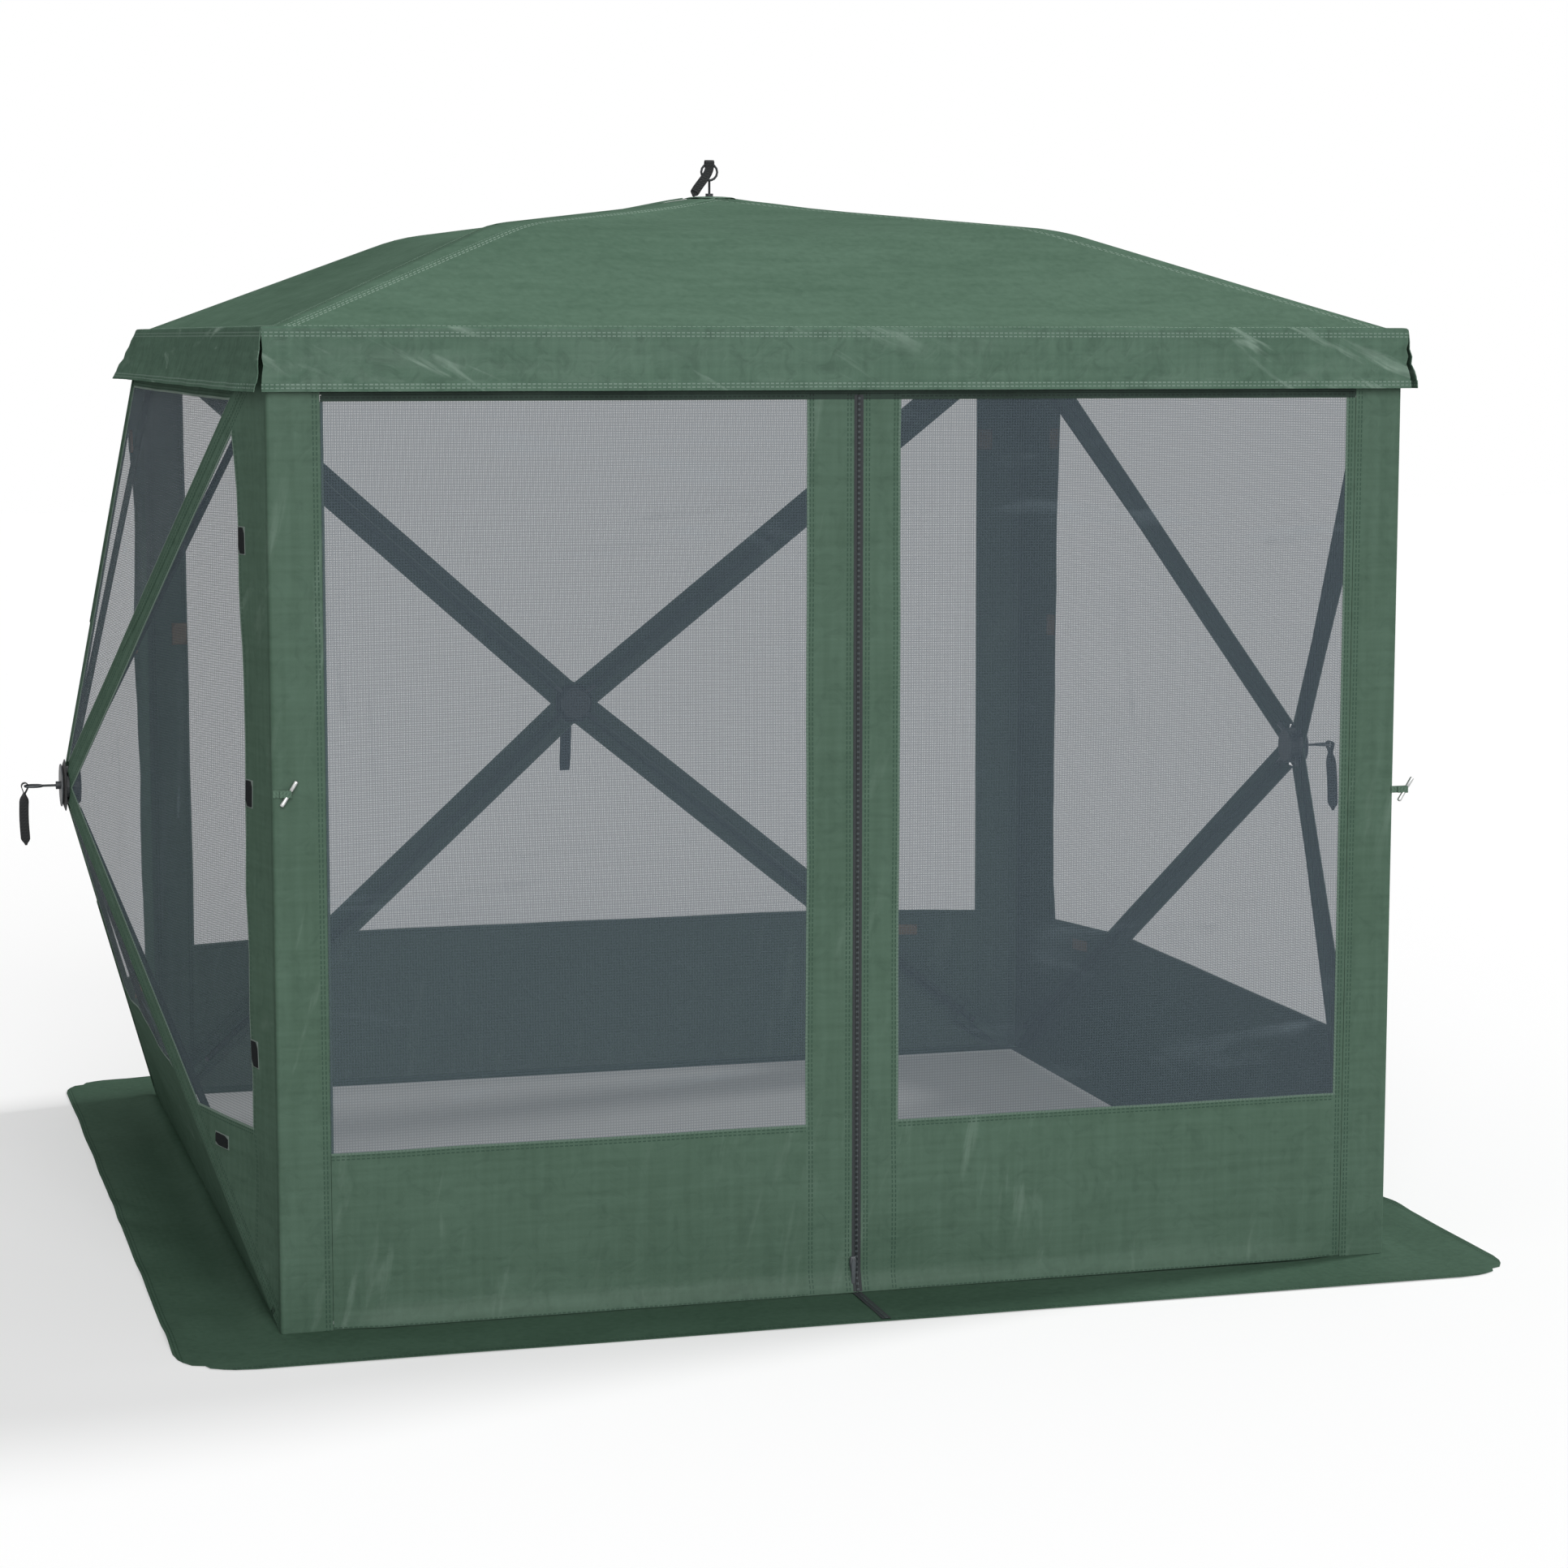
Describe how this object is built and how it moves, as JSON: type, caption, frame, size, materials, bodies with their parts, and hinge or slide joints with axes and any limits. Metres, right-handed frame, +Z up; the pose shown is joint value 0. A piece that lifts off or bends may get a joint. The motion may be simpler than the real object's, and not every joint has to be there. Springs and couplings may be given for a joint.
{
  "type": "pop-up screen shelter",
  "caption": "Pitched pop-up screen shelter: hub-and-pole walls and roof, netting windows, zipped front door, hanging eave valance and ground skirt.",
  "frame": {"origin": "middle of the whole pitched shelter's box, on the ground; the room's own middle lies 81 mm towards the door, because the back wall's hub stands out further than the door side's skirt", "axes": "+Z up; -Y out through the zipped front door; +X to the right of someone who stands outside and faces the door"},
  "size_m": [2.8528, 2.6914, 2.1254],
  "materials": {
    "green_cloth": "satin",
    "grey_netting": "matte",
    "black_webbing": "matte",
    "charcoal_plastic": "satin",
    "fibreglass": "satin",
    "steel_wire": "satin"
  },
  "bodies": {
    "shelter_frame": {"corner_front_left": "green_cloth", "corner_front_right": "green_cloth", "corner_back_left": "green_cloth", "corner_back_right": "green_cloth", "valance_back": "green_cloth", "valance_left": "green_cloth", "valance_right": "green_cloth", "valance_front": "green_cloth", "skirt_back": "green_cloth", "skirt_left": "green_cloth", "skirt_right": "green_cloth", "skirt_front_left": "green_cloth", "skirt_front_right": "green_cloth", "front_header": "green_cloth"},
    "back_wall_hub": {"back_wall_hub": "charcoal_plastic"},
    "back_wall_pull_strap": {"back_wall_pull_strap": "black_webbing"},
    "back_wall_pole_top_left": {"back_wall_pole_top_left": "fibreglass"},
    "back_wall_pole_top_right": {"back_wall_pole_top_right": "fibreglass"},
    "back_wall_pole_bottom_left": {"back_wall_pole_bottom_left": "fibreglass"},
    "back_wall_pole_bottom_right": {"back_wall_pole_bottom_right": "fibreglass"},
    "back_wall_panel_top": {"back_wall_panel_top": "grey_netting"},
    "back_wall_panel_bottom": {"back_wall_panel_bottom": "grey_netting"},
    "back_wall_panel_left": {"back_wall_panel_left": "grey_netting"},
    "back_wall_panel_right": {"back_wall_panel_right": "grey_netting"},
    "left_wall_hub": {"left_wall_hub": "charcoal_plastic"},
    "left_wall_pull_strap": {"left_wall_pull_strap": "black_webbing"},
    "left_wall_pole_top_front": {"left_wall_pole_top_front": "fibreglass"},
    "left_wall_pole_top_back": {"left_wall_pole_top_back": "fibreglass"},
    "left_wall_pole_bottom_front": {"left_wall_pole_bottom_front": "fibreglass"},
    "left_wall_pole_bottom_back": {"left_wall_pole_bottom_back": "fibreglass"},
    "left_wall_panel_top": {"left_wall_panel_top": "grey_netting"},
    "left_wall_panel_bottom": {"left_wall_panel_bottom": "grey_netting"},
    "left_wall_panel_front": {"left_wall_panel_front": "grey_netting"},
    "left_wall_panel_back": {"left_wall_panel_back": "grey_netting"},
    "right_wall_hub": {"right_wall_hub": "charcoal_plastic"},
    "right_wall_pull_strap": {"right_wall_pull_strap": "black_webbing"},
    "right_wall_pole_top_back": {"right_wall_pole_top_back": "fibreglass"},
    "right_wall_pole_top_front": {"right_wall_pole_top_front": "fibreglass"},
    "right_wall_pole_bottom_back": {"right_wall_pole_bottom_back": "fibreglass"},
    "right_wall_pole_bottom_front": {"right_wall_pole_bottom_front": "fibreglass"},
    "right_wall_panel_top": {"right_wall_panel_top": "grey_netting"},
    "right_wall_panel_bottom": {"right_wall_panel_bottom": "grey_netting"},
    "right_wall_panel_back": {"right_wall_panel_back": "grey_netting"},
    "right_wall_panel_front": {"right_wall_panel_front": "grey_netting"},
    "roof_hub": {"roof_hub": "charcoal_plastic", "roof_pull_ring": "steel_wire"},
    "roof_pull_strap": {"roof_pull_strap": "black_webbing"},
    "roof_pole_front_left": {"roof_pole_front_left": "fibreglass"},
    "roof_pole_front_right": {"roof_pole_front_right": "fibreglass"},
    "roof_pole_back_left": {"roof_pole_back_left": "fibreglass"},
    "roof_pole_back_right": {"roof_pole_back_right": "fibreglass"},
    "roof_panel_back": {"roof_panel_back": "green_cloth"},
    "roof_panel_left": {"roof_panel_left": "green_cloth"},
    "roof_panel_right": {"roof_panel_right": "green_cloth"},
    "roof_panel_front": {"roof_panel_front": "green_cloth"},
    "door_left": {"door_left": "grey_netting"},
    "door_right": {"door_right": "grey_netting"},
    "zip_slider": {"zip_slider": "charcoal_plastic"},
    "toggle_left": {"toggle_left": "steel_wire"},
    "toggle_right": {"toggle_right": "steel_wire"}
  },
  "joints": [
    {"name": "back_wall_hub_slide", "type": "slide", "parent": "shelter_frame", "child": "back_wall_hub", "axis": [0, 1, 0], "range_m": [-0.56, 0]},
    {"name": "back_wall_pull_strap_swing", "type": "hinge", "parent": "back_wall_hub", "child": "back_wall_pull_strap", "pos_m": [0, 1.33728, 0.868], "axis": [1, 0, 0], "range_deg": [-10, 110]},
    {"name": "back_wall_pole_top_left_swing", "type": "hinge", "parent": "back_wall_hub", "child": "back_wall_pole_top_left", "pos_m": [-0.02267, 1.24628, 0.88765], "axis": [-0.655, 0, -0.7556], "range_deg": [0, 25.63]},
    {"name": "back_wall_pole_top_right_swing", "type": "hinge", "parent": "back_wall_hub", "child": "back_wall_pole_top_right", "pos_m": [0.02267, 1.24628, 0.88765], "axis": [-0.655, 0, 0.7556], "range_deg": [0, 25.63]},
    {"name": "back_wall_pole_bottom_left_swing", "type": "hinge", "parent": "back_wall_hub", "child": "back_wall_pole_bottom_left", "pos_m": [-0.02306, 1.24628, 0.84882], "axis": [0.6394, 0, -0.7688], "range_deg": [0, 25.63]},
    {"name": "back_wall_pole_bottom_right_swing", "type": "hinge", "parent": "back_wall_hub", "child": "back_wall_pole_bottom_right", "pos_m": [0.02306, 1.24628, 0.84882], "axis": [0.6394, 0, 0.7688], "range_deg": [0, 25.63]},
    {"name": "back_wall_panel_top_swing", "type": "hinge", "parent": "shelter_frame", "child": "back_wall_panel_top", "pos_m": [0, 0.98428, 1.7692], "axis": [-1, 0, 0], "range_deg": [0, 34.52]},
    {"name": "back_wall_panel_bottom_swing", "type": "hinge", "parent": "shelter_frame", "child": "back_wall_panel_bottom", "pos_m": [0, 0.98428, 0.0033], "axis": [1, 0, 0], "range_deg": [0, 35.89]},
    {"name": "back_wall_panel_left_swing", "type": "hinge", "parent": "shelter_frame", "child": "back_wall_panel_left", "pos_m": [-1.0397, 0.98428, 0.868], "axis": [0, 0, -1], "range_deg": [0, 30.15]},
    {"name": "back_wall_panel_right_swing", "type": "hinge", "parent": "shelter_frame", "child": "back_wall_panel_right", "pos_m": [1.0397, 0.98428, 0.868], "axis": [0, 0, 1], "range_deg": [0, 30.15]},
    {"name": "left_wall_hub_slide", "type": "slide", "parent": "shelter_frame", "child": "left_wall_hub", "axis": [-1, 0, 0], "range_m": [-0.56, 0]},
    {"name": "left_wall_pull_strap_swing", "type": "hinge", "parent": "left_wall_hub", "child": "left_wall_pull_strap", "pos_m": [-1.418, -0.08072, 0.868], "axis": [0, 1, 0], "range_deg": [-10, 110]},
    {"name": "left_wall_pole_top_front_swing", "type": "hinge", "parent": "left_wall_hub", "child": "left_wall_pole_top_front", "pos_m": [-1.327, -0.10339, 0.88765], "axis": [0, -0.655, -0.7556], "range_deg": [0, 25.63]},
    {"name": "left_wall_pole_top_back_swing", "type": "hinge", "parent": "left_wall_hub", "child": "left_wall_pole_top_back", "pos_m": [-1.327, -0.05805, 0.88765], "axis": [0, -0.655, 0.7556], "range_deg": [0, 25.63]},
    {"name": "left_wall_pole_bottom_front_swing", "type": "hinge", "parent": "left_wall_hub", "child": "left_wall_pole_bottom_front", "pos_m": [-1.327, -0.10378, 0.84882], "axis": [0, 0.6394, -0.7688], "range_deg": [0, 25.63]},
    {"name": "left_wall_pole_bottom_back_swing", "type": "hinge", "parent": "left_wall_hub", "child": "left_wall_pole_bottom_back", "pos_m": [-1.327, -0.05765, 0.84882], "axis": [0, 0.6394, 0.7688], "range_deg": [0, 25.63]},
    {"name": "left_wall_panel_top_swing", "type": "hinge", "parent": "shelter_frame", "child": "left_wall_panel_top", "pos_m": [-1.065, -0.08072, 1.7692], "axis": [0, -1, 0], "range_deg": [0, 34.52]},
    {"name": "left_wall_panel_bottom_swing", "type": "hinge", "parent": "shelter_frame", "child": "left_wall_panel_bottom", "pos_m": [-1.065, -0.08072, 0.0033], "axis": [0, 1, 0], "range_deg": [0, 35.89]},
    {"name": "left_wall_panel_front_swing", "type": "hinge", "parent": "shelter_frame", "child": "left_wall_panel_front", "pos_m": [-1.065, -1.12042, 0.868], "axis": [0, 0, -1], "range_deg": [0, 30.15]},
    {"name": "left_wall_panel_back_swing", "type": "hinge", "parent": "shelter_frame", "child": "left_wall_panel_back", "pos_m": [-1.065, 0.95898, 0.868], "axis": [0, 0, 1], "range_deg": [0, 30.15]},
    {"name": "right_wall_hub_slide", "type": "slide", "parent": "shelter_frame", "child": "right_wall_hub", "axis": [1, 0, 0], "range_m": [-0.56, 0]},
    {"name": "right_wall_pull_strap_swing", "type": "hinge", "parent": "right_wall_hub", "child": "right_wall_pull_strap", "pos_m": [1.418, -0.08072, 0.868], "axis": [0, -1, 0], "range_deg": [-10, 110]},
    {"name": "right_wall_pole_top_back_swing", "type": "hinge", "parent": "right_wall_hub", "child": "right_wall_pole_top_back", "pos_m": [1.327, -0.05805, 0.88765], "axis": [0, 0.655, -0.7556], "range_deg": [0, 25.63]},
    {"name": "right_wall_pole_top_front_swing", "type": "hinge", "parent": "right_wall_hub", "child": "right_wall_pole_top_front", "pos_m": [1.327, -0.10339, 0.88765], "axis": [0, 0.655, 0.7556], "range_deg": [0, 25.63]},
    {"name": "right_wall_pole_bottom_back_swing", "type": "hinge", "parent": "right_wall_hub", "child": "right_wall_pole_bottom_back", "pos_m": [1.327, -0.05765, 0.84882], "axis": [0, -0.6394, -0.7688], "range_deg": [0, 25.63]},
    {"name": "right_wall_pole_bottom_front_swing", "type": "hinge", "parent": "right_wall_hub", "child": "right_wall_pole_bottom_front", "pos_m": [1.327, -0.10378, 0.84882], "axis": [0, -0.6394, 0.7688], "range_deg": [0, 25.63]},
    {"name": "right_wall_panel_top_swing", "type": "hinge", "parent": "shelter_frame", "child": "right_wall_panel_top", "pos_m": [1.065, -0.08072, 1.7692], "axis": [0, 1, 0], "range_deg": [0, 34.52]},
    {"name": "right_wall_panel_bottom_swing", "type": "hinge", "parent": "shelter_frame", "child": "right_wall_panel_bottom", "pos_m": [1.065, -0.08072, 0.0033], "axis": [0, -1, 0], "range_deg": [0, 35.89]},
    {"name": "right_wall_panel_back_swing", "type": "hinge", "parent": "shelter_frame", "child": "right_wall_panel_back", "pos_m": [1.065, 0.95898, 0.868], "axis": [0, 0, -1], "range_deg": [0, 30.15]},
    {"name": "right_wall_panel_front_swing", "type": "hinge", "parent": "shelter_frame", "child": "right_wall_panel_front", "pos_m": [1.065, -1.12042, 0.868], "axis": [0, 0, 1], "range_deg": [0, 30.15]},
    {"name": "roof_hub_slide", "type": "slide", "parent": "shelter_frame", "child": "roof_hub", "axis": [0, 0, 1], "range_m": [-0.54, 0]},
    {"name": "roof_pull_strap_swing", "type": "hinge", "parent": "roof_hub", "child": "roof_pull_strap", "pos_m": [0, -0.08072, 2.117], "axis": [1, 0, 0], "range_deg": [-120, 0]},
    {"name": "roof_pole_front_left_swing", "type": "hinge", "parent": "roof_hub", "child": "roof_pole_front_left", "pos_m": [-0.02121, -0.10193, 2.026], "axis": [-0.7071, 0.7071, 0], "range_deg": [0, 22.25]},
    {"name": "roof_pole_front_right_swing", "type": "hinge", "parent": "roof_hub", "child": "roof_pole_front_right", "pos_m": [0.02121, -0.10193, 2.026], "axis": [-0.7071, -0.7071, 0], "range_deg": [0, 22.25]},
    {"name": "roof_pole_back_left_swing", "type": "hinge", "parent": "roof_hub", "child": "roof_pole_back_left", "pos_m": [-0.02121, -0.0595, 2.026], "axis": [0.7071, 0.7071, 0], "range_deg": [0, 22.25]},
    {"name": "roof_pole_back_right_swing", "type": "hinge", "parent": "roof_hub", "child": "roof_pole_back_right", "pos_m": [0.02121, -0.0595, 2.026], "axis": [0.7071, -0.7071, 0], "range_deg": [0, 22.25]},
    {"name": "roof_panel_back_swing", "type": "hinge", "parent": "shelter_frame", "child": "roof_panel_back", "pos_m": [0, 0.97598, 1.774], "axis": [1, 0, 0], "range_deg": [0, 28.67]},
    {"name": "roof_panel_left_swing", "type": "hinge", "parent": "shelter_frame", "child": "roof_panel_left", "pos_m": [-1.0567, -0.08072, 1.774], "axis": [0, 1, 0], "range_deg": [0, 28.67]},
    {"name": "roof_panel_right_swing", "type": "hinge", "parent": "shelter_frame", "child": "roof_panel_right", "pos_m": [1.0567, -0.08072, 1.774], "axis": [0, -1, 0], "range_deg": [0, 28.67]},
    {"name": "roof_panel_front_swing", "type": "hinge", "parent": "shelter_frame", "child": "roof_panel_front", "pos_m": [0, -1.13742, 1.774], "axis": [-1, 0, 0], "range_deg": [0, 28.67]},
    {"name": "door_left_swing", "type": "hinge", "parent": "shelter_frame", "child": "door_left", "pos_m": [-0.97285, -1.14722, 0.83], "axis": [0, 0, -1], "range_deg": [0, 110]},
    {"name": "door_right_swing", "type": "hinge", "parent": "shelter_frame", "child": "door_right", "pos_m": [0.97285, -1.14722, 0.83], "axis": [0, 0, 1], "range_deg": [0, 110]},
    {"name": "zip_slider_slide", "type": "slide", "parent": "door_left", "child": "zip_slider", "axis": [0, 0, 1], "range_m": [0, 1.55]},
    {"name": "toggle_left_swing", "type": "hinge", "parent": "shelter_frame", "child": "toggle_left", "pos_m": [-1.065, -1.14722, 0.97], "axis": [0, 1, 0], "range_deg": [-60, 60]},
    {"name": "toggle_right_swing", "type": "hinge", "parent": "shelter_frame", "child": "toggle_right", "pos_m": [1.061, -1.14722, 0.908], "axis": [0, 1, 0], "range_deg": [-60, 60]}
  ],
  "couplings": [
    {"joint": "back_wall_pole_top_left_swing", "follows": "back_wall_hub_slide", "rad_per_m": -0.79876},
    {"joint": "back_wall_pole_top_right_swing", "follows": "back_wall_hub_slide", "rad_per_m": -0.79876},
    {"joint": "back_wall_pole_bottom_left_swing", "follows": "back_wall_hub_slide", "rad_per_m": -0.79876},
    {"joint": "back_wall_pole_bottom_right_swing", "follows": "back_wall_hub_slide", "rad_per_m": -0.79876},
    {"joint": "back_wall_panel_top_swing", "follows": "back_wall_hub_slide", "rad_per_m": -1.0759},
    {"joint": "back_wall_panel_bottom_swing", "follows": "back_wall_hub_slide", "rad_per_m": -1.1184},
    {"joint": "back_wall_panel_left_swing", "follows": "back_wall_hub_slide", "rad_per_m": -0.93953},
    {"joint": "back_wall_panel_right_swing", "follows": "back_wall_hub_slide", "rad_per_m": -0.93953},
    {"joint": "left_wall_pole_top_front_swing", "follows": "left_wall_hub_slide", "rad_per_m": -0.79876},
    {"joint": "left_wall_pole_top_back_swing", "follows": "left_wall_hub_slide", "rad_per_m": -0.79876},
    {"joint": "left_wall_pole_bottom_front_swing", "follows": "left_wall_hub_slide", "rad_per_m": -0.79876},
    {"joint": "left_wall_pole_bottom_back_swing", "follows": "left_wall_hub_slide", "rad_per_m": -0.79876},
    {"joint": "left_wall_panel_top_swing", "follows": "left_wall_hub_slide", "rad_per_m": -1.0759},
    {"joint": "left_wall_panel_bottom_swing", "follows": "left_wall_hub_slide", "rad_per_m": -1.1184},
    {"joint": "left_wall_panel_front_swing", "follows": "left_wall_hub_slide", "rad_per_m": -0.93953},
    {"joint": "left_wall_panel_back_swing", "follows": "left_wall_hub_slide", "rad_per_m": -0.93953},
    {"joint": "right_wall_pole_top_back_swing", "follows": "right_wall_hub_slide", "rad_per_m": -0.79876},
    {"joint": "right_wall_pole_top_front_swing", "follows": "right_wall_hub_slide", "rad_per_m": -0.79876},
    {"joint": "right_wall_pole_bottom_back_swing", "follows": "right_wall_hub_slide", "rad_per_m": -0.79876},
    {"joint": "right_wall_pole_bottom_front_swing", "follows": "right_wall_hub_slide", "rad_per_m": -0.79876},
    {"joint": "right_wall_panel_top_swing", "follows": "right_wall_hub_slide", "rad_per_m": -1.0759},
    {"joint": "right_wall_panel_bottom_swing", "follows": "right_wall_hub_slide", "rad_per_m": -1.1184},
    {"joint": "right_wall_panel_back_swing", "follows": "right_wall_hub_slide", "rad_per_m": -0.93953},
    {"joint": "right_wall_panel_front_swing", "follows": "right_wall_hub_slide", "rad_per_m": -0.93953},
    {"joint": "roof_pole_front_left_swing", "follows": "roof_hub_slide", "rad_per_m": -0.71922},
    {"joint": "roof_pole_front_right_swing", "follows": "roof_hub_slide", "rad_per_m": -0.71922},
    {"joint": "roof_pole_back_left_swing", "follows": "roof_hub_slide", "rad_per_m": -0.71922},
    {"joint": "roof_pole_back_right_swing", "follows": "roof_hub_slide", "rad_per_m": -0.71922},
    {"joint": "roof_panel_back_swing", "follows": "roof_hub_slide", "rad_per_m": -0.92652},
    {"joint": "roof_panel_left_swing", "follows": "roof_hub_slide", "rad_per_m": -0.92652},
    {"joint": "roof_panel_right_swing", "follows": "roof_hub_slide", "rad_per_m": -0.92652},
    {"joint": "roof_panel_front_swing", "follows": "roof_hub_slide", "rad_per_m": -0.92652}
  ]
}
